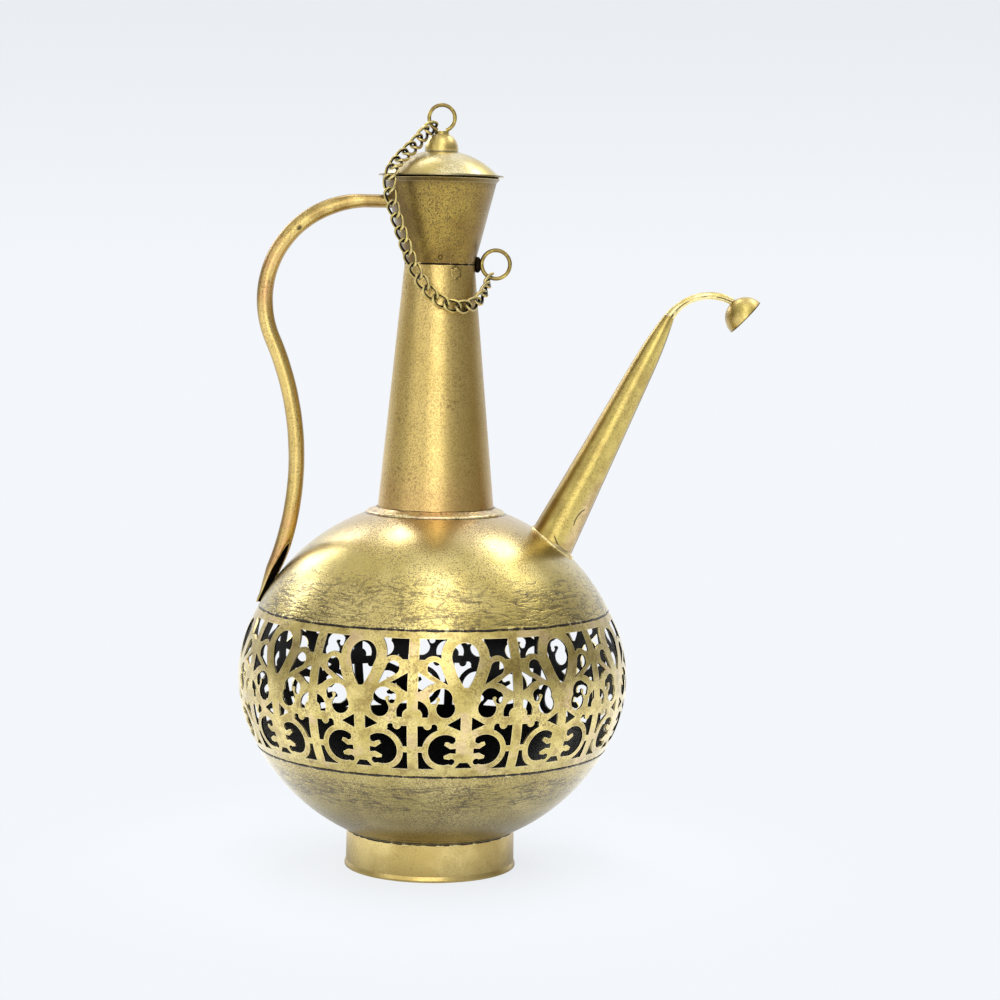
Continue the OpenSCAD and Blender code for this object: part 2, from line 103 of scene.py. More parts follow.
# Chain: the line that it hangs in, from the lid ring over the rim to the ring at the waist, in millimetres
CHAIN_ROUTE = [
    (-4.4, 1, 480.5), (-10.6, -6.4, 476.9), (-14.9, -11.4, 469.6), (-19.6, -17.2, 464.8), (-24.9, -22, 459.4),
    (-29.1, -29.4, 453.8), (-31.5, -34.5, 446), (-31.1, -35.5, 436.4), (-27, -33.8, 421.9), (-20.9, -32, 404.1),
    (-15.2, -31.1, 389.6), (-7.6, -30, 377.3), (0.3, -29.1, 369.8), (8.4, -26.9, 366), (16, -23.3, 365.4),
    (21.9, -18.6, 367.2), (27.1, -13.4, 371.2), (30.4, -6.1, 378.6), (32.9, 0.9, 385.7),
]
LINK_COUNT = 24
LID_LINKS = 6
ROUTE_STEPS = 12
LINK_WIRE = 1.8 * MM  # sets the link's middle line
LINK_SKIN = 2.1 * MM  # thickness that shows
LINK_WIDTH = 9 * MM
LINK_GAP = 0.6 * MM
LINK_TWIST = math.radians(46)
LINK_ROUND = 0.8
LINK_RINGS = 36
LINK_SIDES = 10

# Turn of the links' flats in degrees, from the lid ring down to the neck, and the heights where it changes
HOOK_TURN, HOOK_Z = 56, 478
DRAPE_TURN, DRAPE_Z = -14, 462
RIM_Z, HANG_Z = 454, 390

# Cracks in the lacquer: size of their cells and of their wander
CRACK_WIDE, CRACK_HIGH, CRACK_SWAY = 15 * MM, 4.2 * MM, 4 * MM

# Handle: a tube along two bows, from the funnel to its slanting end on the dome, in millimetres
TUBE_R = 5.2
TUBE_WALL = 1.0
TUBE_SIDES = 40
TUBE_STEP = 2.0
UPPER_BOW = (-48.5, 368, 64)
LOWER_BOW = (-284.48, 264.5, 193.68)
BOW_TURN, BOW_END = 23.68, -22
UPPER_STEPS, LOWER_STEPS = 90, 60
HANDLE_TOP_X = -31
FLAT_FROM_X, FLAT_RUN, FLAT_R, FLAT_SPREAD = -70, 22, 4.4, 0.25
PINCH_TURN, PINCH = math.radians(218), 0.13
TAPER_L, TAPER_R, TAPER_PAST = 17, 3.0, 8
HANDLE_PIT = Vector((-90, -5, 414))
SLANT_TOP = Vector((-98, 0, 201))
SLANT_TURN = math.radians(32)
HOLLOW_L = 70

# Funnel where the handle meets it: its radius at the waist, its slope and half its sheet, in millimetres
FUNNEL_R, FUNNEL_SLOPE, FUNNEL_HALF_SHEET = 22.6, 0.2524, 0.6

# Dome under the collar and the spout's skirt, and the spout's axis, in millimetres
DOME_R, DOME_Z = 128, 111.8
NECK_R, COLLAR_OUT = 37.6, 45.1
COLLAR_STEPS, SKIRT_STEPS = 288, 160
COLLAR_SECTION = (  # share of the way out, height above the dome
    (0.0, -0.4), (0.0, 1.7), (0.16, 1.5), (0.38, 1.15), (0.62, 1.1), (0.84, 1.05), (0.97, 0.8), (1.0, 0.2),
    (0.99, -0.4),
)
SPOUT_AT = Vector((85.6, 0, 233.6))
SPOUT_LEAN = math.radians(26.3)
SPOUT_R, SPOUT_SLOPE, SKIRT_OUT = 13.85, 0.0571, 18.0
SPOUT_DARK_LINE = 0.3  # distance of the dark line in front of the spout's axis, as a share of its radius

# Stem: part of a ring from the spout's tip to the cup, with a crease along its side, in millimetres and degrees
STEM_BOW = Vector((174.98, 0, 344.48))
STEM_BOW_R = 31
STEM_FROM, STEM_TO = 146.1, 56
STEM_R, STEM_FOOT_R = 2.6, 3.35
STEM_BLEND = 0.2
STEM_STEPS = 90
STEM_FLAT = 0.08
CREASE_TURN, CREASE_SPREAD, CREASE_DEPTH = 255, 15, 0.22

# Cup: its middle, its radius and the way that it opens, in millimetres
CUP_AT = Vector((198.08, 0, 361.88))
CUP_R = 13.3
CUP_FACING = (math.sin(math.radians(133)), 0, math.cos(math.radians(133)))

# Lug of solder that holds the ring at the waist: its middle and half its size, in millimetres
LUG_AT = Vector((24.4, 0, 392.5))
LUG_HALF = (2.2, 2.3, 5.2)
LUG_STEPS = 18

# Scratches on the spout: a circle's centre and radius, the middle of the part that shows and its reach, in millimetres
SPOUT_SCRATCHES = (
    ((104, -11, 224), 14.5, (93, -9, 231), 7.5),
    ((92, -10, 222), 15.5, (80.5, -12, 213), 8.5),
)

# Lumps of solder on the neck, just under the waist, in millimetres
SOLDER_AT = Vector((11, -20.5, 387))

# Camera and studio
EYE = Vector((0.0418, -1.6244, 0.3875))
AIM = Vector((0.0418, 0, 0.2406))
ROLL = math.radians(1.1)
LENS = 90.33
SENSOR = 36
BACKDROP_LOW = (0.900, 0.925, 0.962, 1)
BACKDROP_HIGH = (0.822, 0.848, 0.878, 1)
ROOM_FRONT = (0.30, 0.295, 0.285, 1)
ROOM_BACK = (0.92, 0.93, 0.95, 1)
ROOM_TOP = (1.0, 1.0, 1.0, 1)
ROOM_LIGHT = (0.86, 0.87, 0.89, 1)
BACKDROP_RISE, BACK_RISE, TOP_RISE = (-0.02, 0.12), (0.25, 0.88), (0.28, 0.88)

# Floor: half its side, then its level to the camera and to the metal, which sees a painted shade near the foot and a
# painted glow further off: two distances and the levels at them
FLOOR_REACH = 6.0
FLOOR_SEEN = (0.05, 0.30, 0.80, 1.0)
FLOOR_PAINTED_SHADE_AND_GLOW = (0.04, 0.22, 0.45, 1.6)

# Softboxes: turn and rise in degrees, distance, width and height in metres, power in watts
SOFTBOXES = {
    "front_box": (-2, 17, 2.2, 1.3, 1.6, 16),
    "left_front_box": (-50, 15, 2.2, 1.4, 1.6, 6),
    "top_front_box": (6, 60, 1.9, 0.6, 1.2, 7),
    "left_back_box": (-141, 30, 1.8, 0.45, 0.7, 5),
    "left_low_box": (-117, 26, 1.8, 0.3, 0.45, 2),
    "left_high_box": (-156, 58, 1.8, 0.4, 0.4, 3.4),
    "right_back_box": (136, 53, 1.8, 0.45, 0.42, 3.8),
    "right_top_box": (105, 52, 1.8, 0.6, 0.5, 2),
}


class Nodes:
    """Short ways to add and join the nodes of one tree."""

    def __init__(self, tree, coords=None):
        self.tree = tree
        tree.nodes.clear()
        self.place = self.add("ShaderNodeTexCoord").outputs[coords] if coords else None

    def add(self, kind, inputs=None, **settings):
        """Adds a node and feeds its inputs, which go by name or number."""
        node = self.tree.nodes.new(kind)
        for key, value in settings.items():
            setattr(node, key, value)
        for key, value in (inputs or {}).items():
            if isinstance(value, bpy.types.NodeSocket):
                self.tree.links.new(value, node.inputs[key])
            else:
                node.inputs[key].default_value = value
        return node

    def math(self, operation, first, second=0.0):
        return self.add("ShaderNodeMath", {0: first, 1: second}, operation=operation).outputs[0]

    def both(self, first, second):
        return self.math("MULTIPLY", first, second)

    def vector(self, operation, first, second=(0, 0, 0)):
        node = self.add("ShaderNodeVectorMath", {0: first, 1: second}, operation=operation)
        return node.outputs["Value"] if operation in ("DOT_PRODUCT", "LENGTH", "DISTANCE") else node.outputs[0]

    def part(self, axis, vector=None):
        return self.add("ShaderNodeSeparateXYZ", {0: vector or self.place}).outputs[axis]

    def rise(self, value, low, high, bottom=0.0, top=1.0):
        """Goes smoothly from bottom to top while the value goes from low to high."""
        inputs = {0: value, 1: low, 2: high, 3: bottom, 4: top}
        return self.add("ShaderNodeMapRange", inputs, interpolation_type="SMOOTHSTEP").outputs[0]

    def blend(self, share, first, second):
        return self.add("ShaderNodeMix", {0: share, 6: first, 7: second}, data_type="RGBA").outputs[2]

    def seen(self):
        """1 for rays from the camera, straight or by way of a shiny or clear surface; 1 for the straight ones alone."""
        path = self.add("ShaderNodeLightPath").outputs
        mirrored = self.math("MAXIMUM", path["Is Glossy Ray"], path["Is Transmission Ray"])
        return self.math("MAXIMUM", path["Is Camera Ray"], mirrored), path["Is Camera Ray"]


class Skin(Nodes):
    """One finish: patterns are laid over each other, then joined to a metal surface."""

    def __init__(self, name):
        self.material = bpy.data.materials.new(name)
        self.material.use_nodes = True
        super().__init__(self.material.node_tree, "Object")
        self.normal = self.add("ShaderNodeNewGeometry").outputs["Normal"]
        self.colour = None
        self.rough = None
        self.bumps = []

    def noise(self, size, stretch=(1, 1, 1), detail=4.0, rough=0.55, bend=0.0, shift=0.0):
        """Cloudy pattern with patches of about the given size; a stretch below 1 draws it out along that axis."""
        scaled = self.vector("MULTIPLY", self.place, tuple(s / size for s in stretch))
        shifted = self.vector("ADD", scaled, (shift, shift * 0.7, shift * 1.3))
        return self.add("ShaderNodeTexNoise", {
            "Vector": shifted, "Scale": 1, "Detail": detail, "Roughness": rough, "Distortion": bend,
        }).outputs["Fac"]

    def lay(self, share, colour, strength=1.0):
        """Lays a colour over what is there, where the share is high."""
        if strength != 1.0:
            share = self.math("MULTIPLY", share, strength)
        self.colour = self.blend(share, self.colour, colour)

    def press(self, height, depth):
        """Adds relief: a height of 1 stands the given depth proud."""
        self.bumps.append((height, depth))

    def start(self, dark, light, size, shift=0.0, rough=(0.40, 0.33)):
        """Large soft patches between two ages of brass."""
        patches = self.noise(size, detail=4, shift=shift)
        self.colour = self.blend(self.rise(patches, 0.36, 0.66), dark, light)
        self.rough = self.rise(patches, 0.3, 0.7, *rough)

    def grain(self, size, strength, low=0.49, high=0.60, shift=3.0, colour=BROWN, depth=0.02 * MM, patch=24 * MM,
              least=0.35):
        """Fine leathery speckle, denser in some places than in others."""
        specks = self.rise(self.noise(size, detail=2, rough=0.6, shift=shift), low, high)
        cover = self.rise(self.noise(patch, detail=2, shift=shift + 40), 0.34, 0.66, least, 1.0)
        specks = self.both(specks, cover)
        self.lay(specks, colour, strength)
        self.press(specks, -depth)

    def spots(self, size, cover, colour, strength, shift=7.0):
        """Small dark spots that gather in loose clusters."""
        clusters = self.rise(self.noise(size * 14, detail=2, shift=shift), 0.45, 0.7)
        dots = self.rise(self.noise(size, detail=1, shift=shift + 1), cover, cover + 0.07)
        self.lay(self.both(clusters, dots), colour, strength)

    def scores(self, where, strength, depth, size=5.5 * MM, shift=11.0):
        """Thin level crackle lines, broken up in patches; where tells how thick they lie, from 0 to 1."""
        sheet = self.noise(size, stretch=(0.17, 0.17, 1.0), detail=2, rough=0.5, bend=0.5, shift=shift)
        away = self.math("ABSOLUTE", self.math("SUBTRACT", sheet, 0.5))
        patches = self.noise(13 * MM, stretch=(0.6, 0.6, 1.0), detail=3, shift=shift + 2)
        cover = self.rise(self.math("ADD", patches, self.rise(where, 0, 1, -0.35, 0.08)), 0.46, 0.56)
        self.lay(self.both(self.rise(away, 0.030, 0.010), cover), UMBER, strength)
        self.press(self.both(self.rise(away, 0.075, 0.0), cover), -depth)

    def cracks(self, where, strength, shift=31.0):
        """Thin branching cracks round flat cells."""
        near = self.vector("MULTIPLY", self.place, (1 / CRACK_SWAY,) * 3)
        sway = self.add("ShaderNodeTexNoise", {"Vector": near, "Scale": 1}).outputs["Color"]
        scaled = self.vector("MULTIPLY", self.place, (1 / CRACK_WIDE, 1 / CRACK_WIDE, 1 / CRACK_HIGH))
        swayed = self.vector("ADD", scaled, self.vector("MULTIPLY", sway, (0.5, 0.5, 0.9)))
        cells = self.add("ShaderNodeTexVoronoi", {
            "Vector": self.vector("ADD", swayed, (shift, shift, shift)), "Scale": 1,
        }, feature="DISTANCE_TO_EDGE")
        patches = self.rise(self.noise(17 * MM, detail=2, shift=shift + 5), 0.46, 0.60)
        marks = self.both(self.rise(cells.outputs["Distance"], 0.075, 0.03), self.both(patches, where))
        self.lay(marks, UMBER, strength)
        self.press(marks, -0.06 * MM)

    def belt(self, low, full_low, full_high, high):
        """1 between two heights, fading to 0 at the outer two."""
        height = self.part("Z")
        return self.both(self.rise(height, low, full_low), self.rise(height, high, full_high))

    def worn_edges(self, reach, strength=0.85):
        """Edges are rubbed bright."""
        soft = self.add("ShaderNodeBevel", {"Radius": reach}, samples=6)
        turn = self.vector("DOT_PRODUCT", soft.outputs[0], self.normal)
        self.lay(self.rise(turn, 0.99, 0.93), PALE_GOLD, strength)

    def ring_line(self, radius, width, strength=0.9, wobble=0.8 * MM, colour=WARM_BLACK):
        """Dark uneven line round the ewer's axis at one radius."""
        flat = self.vector("LENGTH", self.vector("MULTIPLY", self.place, (1, 1, 0)))
        sway = self.noise(9 * MM, stretch=(1, 1, 0), detail=3, shift=27)
        away = self.math("SUBTRACT", flat, self.math("ADD", radius - wobble / 2, self.math("MULTIPLY", sway, wobble)))
        mark = self.rise(self.math("ABSOLUTE", away), width, width * 0.5)
        self.lay(mark, colour, strength)

    def seam_line(self, height, width, strength=1.0, wobble=1.3 * MM):
        """Dark uneven line of solder round the piece at one height."""
        sway = self.noise(14 * MM, stretch=(1, 1, 0), detail=3, shift=17)
        swell = self.noise(5 * MM, stretch=(1, 1, 0), detail=3, rough=0.7, shift=20)
        line = self.math("ADD", height - wobble / 2, self.math("MULTIPLY", sway, wobble))
        away = self.math("ABSOLUTE", self.math("SUBTRACT", self.part("Z"), line))
        half = self.math("MULTIPLY", self.rise(swell, 0.32, 0.62, 0.35, 1.0), width)
        mark = self.rise(self.math("DIVIDE", away, half), 1.0, 0.6)
        burr = self.both(self.rise(away, width * 1.9, width), self.rise(swell, 0.44, 0.36))
        self.lay(burr, PALE_GOLD, 0.7)
        self.lay(mark, WARM_BLACK, strength)
        self.press(burr, 0.12 * MM)
        self.press(mark, -0.2 * MM)
        self.rough = self.math("ADD", self.rough, self.math("MULTIPLY", mark, 0.3))

    def near_height(self, height, reach):
        """1 at one height, 0 further off than the reach."""
        away = self.math("ABSOLUTE", self.math("SUBTRACT", self.part("Z"), height))
        return self.rise(away, reach, 0)

    def near(self, point, reach):
        """1 at one point, 0 further off than the reach."""
        return self.rise(self.vector("DISTANCE", self.place, point), reach, 0)

    def arc_scratch(self, centre, radius, width, middle, reach):
        """A curved scratch: part of a circle about the centre, kept to the reach about its middle."""
        away = self.math("SUBTRACT", self.vector("DISTANCE", self.place, centre), radius)
        mark = self.rise(self.math("ABSOLUTE", away), width, width * 0.4)
        inside = self.rise(self.vector("DISTANCE", self.place, middle), reach, reach * 0.8)
        self.lay(self.both(mark, inside), WARM_BLACK, 0.9)

    def facing_out(self):
        """How far the surface faces away from the ewer's axis: 1 outside, -1 inside."""
        flat = self.vector("MULTIPLY", self.place, (1, 1, 0))
        return self.vector("DOT_PRODUCT", self.normal, self.vector("NORMALIZE", flat))

    def paint_inside_shade(self):
        """Painted shade: the hollow side of the sheet is made near-black."""
        inside = self.rise(self.facing_out(), 0.02, -0.06)
        self.lay(inside, NEAR_BLACK)
        self.rough = self.math("ADD", self.rough, self.math("MULTIPLY", inside, 0.35))

    def finish(self, dents=0.25 * MM, dent_size=38 * MM, coat=0.6, coat_bend=1.5):
        """Joins the layers to a metal surface under a thin lacquer and returns the material."""
        if dents:
            self.press(self.noise(dent_size, detail=1, shift=23), dents)
        inputs = {
            "Base Color": self.colour, "Roughness": self.rough, "Metallic": 1,
            "Coat Weight": coat, "Coat Roughness": COAT_ROUGH, "Coat IOR": coat_bend,
        }
        below = {}
        for height, depth in self.bumps:
            relief = {"Strength": 1, "Distance": abs(depth), "Height": height}
            bump = self.add("ShaderNodeBump", {**relief, **below}, invert=depth < 0)
            below = {"Normal": bump.outputs[0]}
        surface = self.add("ShaderNodeBsdfPrincipled", {**inputs, **below})
        self.add("ShaderNodeOutputMaterial", {"Surface": surface.outputs[0]})
        return self.material


def dome_finish():
    """Polished brass, rosy towards the neck, with fine level crackle that thickens towards the band."""
    skin = Skin("dome_brass")
    skin.start(OLIVE, DOME_GOLD, 48 * MM, rough=(0.28, 0.23))
    skin.lay(skin.rise(skin.part("Z"), TOP_SEAM + 38 * MM, TOP_SEAM + 64 * MM), ROSE, 0.6)
    skin.grain(1.0 * MM, 0.75)
    skin.spots(1.6 * MM, 0.62, BROWN, 0.6)
    low = skin.rise(skin.part("Z"), TOP_SEAM + 56 * MM, TOP_SEAM + 4 * MM)
    skin.scores(low, 0.6, 0.09 * MM)
    skin.scores(low, 0.5, 0.06 * MM, size=3.2 * MM, shift=51)
    skin.scores(low, 0.4, 0.04 * MM, size=2.2 * MM, shift=61)
    skin.cracks(skin.rise(low, 0.3, 0.7), 0.5)
    skin.ring_line(COLLAR_R + 0.3 * MM, 0.7 * MM)
    skin.seam_line(TOP_SEAM + 0.4 * MM, 0.85 * MM)
    skin.paint_inside_shade()
    return skin.finish(coat=0.5, coat_bend=1.6)


def bowl_finish():
    """Duller brass with a belt of crackle under the band."""
    skin = Skin("bowl_brass")
    skin.start(OLIVE, DOME_GOLD, 44 * MM, shift=2, rough=(0.34, 0.28))
    skin.grain(0.9 * MM, 0.85, low=0.44, high=0.57, least=0.5)
    skin.spots(1.6 * MM, 0.60, BROWN, 0.6, shift=9)
    lined = skin.belt(LOW_SEAM - 34 * MM, LOW_SEAM - 20 * MM, LOW_SEAM - 10 * MM, LOW_SEAM - 2 * MM)
    skin.scores(lined, 0.65, 0.10 * MM)
    skin.scores(lined, 0.6, 0.07 * MM, size=3.2 * MM, shift=53)
    skin.scores(lined, 0.5, 0.05 * MM, size=2.2 * MM, shift=59)
    skin.cracks(lined, 0.4, shift=35)
    skin.seam_line(LOW_SEAM - 0.4 * MM, 0.9 * MM)
    # Painted shade: the bowl darkens towards the foot
    skin.lay(skin.rise(skin.part("Z"), LOW_SEAM - 26 * MM, FOOT_SEAM + 8 * MM), RUSSET, 0.2)
    skin.seam_line(FOOT_SEAM + 3.4 * MM, 0.4 * MM, strength=0.7, wobble=0.8 * MM)
    skin.seam_line(FOOT_SEAM + 0.3 * MM, 1.0 * MM, wobble=0.6 * MM)
    skin.paint_inside_shade()
    return skin.finish(coat=0.6, coat_bend=1.7)


def band_finish():
    """Mottled brass with bright cut edges."""
    skin = Skin("scroll_band_brass")
    skin.start(OLIVE, DOME_GOLD, 20 * MM, shift=4)
    skin.grain(1.0 * MM, 0.6, patch=11 * MM)
    skin.lay(skin.rise(skin.noise(9 * MM, detail=4, rough=0.65, shift=47), 0.50, 0.64), RUSSET, 0.5)
    skin.lay(skin.rise(skin.noise(14 * MM, detail=3, shift=49), 0.52, 0.66), ROSE, 0.5)
    skin.spots(1.8 * MM, 0.52, BROWN, 0.7, shift=13)
    skin.lay(skin.rise(skin.facing_out(), 0.86, 0.6), PALE_GOLD, 0.8)
    skin.worn_edges(0.9 * MM)
    skin.seam_line(TOP_SEAM - 0.2 * MM, 0.4 * MM)
    skin.seam_line(LOW_SEAM + 0.2 * MM, 0.4 * MM)
    skin.paint_inside_shade()
    return skin.finish(dents=0.12 * MM)


def neck_finish():
    """Leathery brass, coppery at its foot, with lumps of solder under the waist."""
    skin = Skin("neck_brass")
    skin.start(NECK_GOLD, GOLD, 60 * MM, shift=5)
    skin.grain(0.9 * MM, 0.55, low=0.45, high=0.60, depth=0.04 * MM, least=0.75)
    skin.spots(2.2 * MM, 0.58, BROWN, 0.6, shift=15)
    skin.lay(skin.rise(skin.part("Z"), NECK_FOOT + 40 * MM, NECK_FOOT), COPPER, 0.3)
    # Painted shade: the neck's right side is browner
    skin.lay(skin.rise(skin.part("X"), 2 * MM, 26 * MM), RUSSET, 0.5)
    blobs = skin.both(skin.near(SOLDER_AT * MM, 7 * MM), skin.noise(2.6 * MM, detail=1, shift=63))
    skin.press(skin.rise(blobs, 0.16, 0.34), 0.5 * MM)
    skin.lay(skin.both(skin.rise(blobs, 0.12, 0.18), skin.rise(blobs, 0.30, 0.22)), UMBER, 0.7)
    skin.seam_line(WAIST - 0.2 * MM, 0.55 * MM, wobble=0.4 * MM)
    skin.paint_inside_shade()
    return skin.finish(coat=0.12)


def funnel_finish():
    """Dark tarnished brass, with painted shade: darkest on its left and under the lid, darker on its right."""
    skin = Skin("funnel_brass")
    skin.start(FUNNEL_GOLD, FUNNEL_PALE, 34 * MM, shift=6)
    skin.grain(0.9 * MM, 0.9, least=0.75, colour=UMBER, depth=0.03 * MM)
    skin.lay(skin.rise(skin.noise(16 * MM, detail=4, rough=0.65, shift=45), 0.46, 0.70), BROWN, 0.4)
    # Painted shade down the left side
    skin.lay(skin.rise(skin.part("X"), -3 * MM, -22 * MM), UMBER, 0.45)
    # Painted shade down the right side
    skin.lay(skin.rise(skin.part("X"), 12 * MM, 24 * MM), BROWN, 0.4)
    # Painted shadow under the lid
    skin.lay(skin.rise(skin.part("Z"), MOUTH - 8 * MM, MOUTH - 2 * MM), UMBER, 0.5)
    skin.spots(1.8 * MM, 0.56, UMBER, 0.7, shift=19)
    skin.worn_edges(0.7 * MM)
    skin.seam_line(WAIST + 0.2 * MM, 0.45 * MM, wobble=0.4 * MM)
    skin.paint_inside_shade()
    return skin.finish(coat=0.12)


def ring_finish():
    """Tarnished wire of the two rings."""
    skin = Skin("ring_brass")
    skin.start(CHAIN_DARK, OLIVE, 8 * MM)
    skin.grain(1.0 * MM, 0.6)
    skin.spots(1.4 * MM, 0.60, BROWN, 0.5)
    skin.worn_edges(0.6 * MM, strength=0.6)
    return skin.finish(dents=0.1 * MM, dent_size=20 * MM, coat=0.2)


def foot_finish():
    """Smooth yellow brass, with dirt along the bowl."""
    skin = Skin("foot_brass")
    skin.start(NECK_GOLD, BRIGHT_GOLD, 30 * MM, shift=22, rough=(0.36, 0.30))
    # Painted shade: the foot's right side is browner
    skin.lay(skin.rise(skin.part("X"), 18 * MM, 46 * MM), RUSSET, 0.35)
    skin.grain(0.9 * MM, 0.25)
    skin.spots(1.4 * MM, 0.62, BROWN, 0.5, shift=55)
    skin.seam_line(FOOT_SEAM - 0.4 * MM, 0.9 * MM, wobble=0.6 * MM)
    skin.worn_edges(0.6 * MM, strength=0.4)
    return skin.finish(dents=0.15 * MM, dent_size=24 * MM, coat=0.35)


def lid_finish(name, dark, light):
    """Brass, with painted shade: browner to the left, dark at the foot of the knob and at the edge of the flange."""
    skin = Skin(name)
    skin.start(dark, light, 30 * MM, shift=20)
    # Painted shade: browner to the left
    skin.lay(skin.rise(skin.part("X"), 2 * MM, -26 * MM), RUSSET, 0.5)
    skin.grain(1.0 * MM, 0.5)
    skin.spots(1.4 * MM, 0.60, BROWN, 0.5, shift=43)
    # Painted shade in the gap at the foot of the knob
    skin.lay(skin.near_height(KNOB_FOOT, 1.1 * MM), WARM_BLACK, 0.8)
    # Painted shade on the underside of the flange's edge
    skin.lay(skin.rise(skin.part("Z"), LID_EDGE + 1.6 * MM, LID_EDGE + 0.9 * MM), UMBER, 0.6)
    skin.worn_edges(0.6 * MM, strength=0.5)
    return skin.finish(dents=0.1 * MM, dent_size=20 * MM, coat=0.65)


def handle_finish():
    """Gold in the grip, with painted shade brown along its sides, coppery towards both ends, with one deep pit."""
    skin = Skin("handle_brass")
    skin.start(NECK_GOLD, HANDLE_GOLD, 26 * MM, shift=12)
    height = skin.part("Z")
    rubbed = skin.rise(skin.noise(13 * MM, detail=4, shift=33), 0.38, 0.62)
    low_end = skin.belt(176 * MM, 192 * MM, 212 * MM, 246 * MM)
    left = skin.rise(skin.part("X"), -94 * MM, -112 * MM)
    bow = skin.both(skin.belt(352 * MM, 376 * MM, 404 * MM, 432 * MM), left)
    skin.lay(skin.both(skin.math("MAXIMUM", low_end, bow), rubbed), COPPER, 0.75)
    skin.lay(skin.both(skin.rise(height, 412 * MM, 426 * MM), rubbed), RUSSET, 0.7)
    skin.grain(1.0 * MM, 0.55, patch=12 * MM, depth=0.004 * MM)
    skin.spots(1.5 * MM, 0.58, BROWN, 0.6, shift=29)
    skin.lay(skin.near(HANDLE_PIT * MM, 2.8 * MM), WARM_BLACK, 0.95)
    skin.press(skin.near(HANDLE_PIT * MM, 2.4 * MM), -0.8 * MM)
    # Painted shade: brown where the tube turns away from the front, along its edges
    front = skin.part("Y", skin.normal)
    skin.lay(skin.rise(skin.math("ABSOLUTE", front), 0.85, 0.35), RUSSET, 0.8)
    skin.lay(skin.rise(height, 198 * MM, 178 * MM), PALE_GOLD, 0.5)
    skin.worn_edges(0.6 * MM, strength=0.5)
    return skin.finish(dents=0.1 * MM, dent_size=20 * MM, coat=0.25)


def collar_finish():
    """Pale solder, dirty in its hollows."""
    skin = Skin("collar_brass")
    skin.start(ROSE, PALE_GOLD, 9 * MM, shift=16)
    skin.grain(1.3 * MM, 0.75, patch=6 * MM)
    skin.spots(1.8 * MM, 0.52, UMBER, 0.8, shift=37)
    skin.ring_line(NECK_R * MM + 0.7 * MM, 0.8 * MM, strength=0.8, wobble=1.2 * MM, colour=UMBER)
    skin.worn_edges(0.5 * MM)
    return skin.finish(dents=0)


def skirt_finish():
    """Pale beaten brass with dark spots."""
    skin = Skin("skirt_brass")
    skin.start(GOLD, PALE_GOLD, 8 * MM, shift=18)
    skin.grain(1.0 * MM, 0.6, patch=7 * MM)
    skin.spots(1.5 * MM, 0.54, UMBER, 0.7, shift=39)
    skin.worn_edges(0.5 * MM)
    return skin.finish(dents=0)


def spout_finish():
    """Yellow brass, rosy at its foot, with painted shade down both sides, a dark line down its far side, a curved
    scratch and a nick.
    """
    skin = Skin("spout_brass")
    skin.start(SPOUT_GOLD, OLIVE, 40 * MM)
    foot = skin.vector("SUBTRACT", skin.place, SPOUT_AT * MM)
    along = skin.vector("DOT_PRODUCT", foot, (math.sin(SPOUT_LEAN), 0, math.cos(SPOUT_LEAN)))
    across = skin.vector("DOT_PRODUCT", foot, (math.cos(SPOUT_LEAN), 0, -math.sin(SPOUT_LEAN)))
    radius = skin.math("SUBTRACT", SPOUT_R * MM, skin.math("MULTIPLY", along, SPOUT_SLOPE))
    side = skin.math("DIVIDE", across, radius)
    # Painted shade down the left side
    skin.lay(skin.rise(side, -0.45, -0.95), RUSSET, 0.6)
    skin.lay(skin.both(skin.rise(side, 0.25, 0.7), skin.rise(along, 40 * MM, 5 * MM)), ROSE, 0.6)
    # Painted shade down the right side
    skin.lay(skin.rise(side, 0.6, 0.95), RUSSET, 0.35)
    # A dark line along the spout's far side
    dark_line = skin.math("ABSOLUTE", skin.math("ADD", skin.part("Y"), skin.math("MULTIPLY", radius, SPOUT_DARK_LINE)))
    skin.lay(skin.both(skin.rise(dark_line, 1.3 * MM, 0.8 * MM), skin.rise(side, 0.5, 0.8)), WARM_BLACK, 0.9)
    skin.lay(skin.rise(skin.noise(12 * MM, detail=4, rough=0.6, shift=57), 0.40, 0.64), RUSSET, 0.4)
    skin.grain(0.9 * MM, 0.5, patch=14 * MM, depth=0.006 * MM)
    skin.spots(1.4 * MM, 0.60, BROWN, 0.5, shift=41)
    for centre, bend, middle, reach in SPOUT_SCRATCHES:
        skin.arc_scratch(Vector(centre) * MM, bend * MM, 0.55 * MM, Vector(middle) * MM, reach * MM)
    skin.worn_edges(0.6 * MM, strength=0.6)
    return skin.finish(dents=0.15 * MM, dent_size=16 * MM, coat=0.3)


def stem_finish():
    """Brass of the spout's bent stem, with painted shade black in its crease."""
    skin = Skin("stem_brass")
    skin.start(SPOUT_GOLD, PALE_GOLD, 14 * MM, shift=65)
    skin.grain(0.8 * MM, 0.45)
    crease = skin.add("ShaderNodeAttribute", attribute_name="crease").outputs["Fac"]
    broken = skin.rise(skin.noise(7 * MM, detail=2, shift=67), 0.36, 0.54)
    # Painted shade in the crease
    skin.lay(skin.both(skin.rise(crease, 0.35, 0.8), broken), WARM_BLACK, 0.85)
    return skin.finish(dents=0.1 * MM, dent_size=9 * MM, coat=0.3)


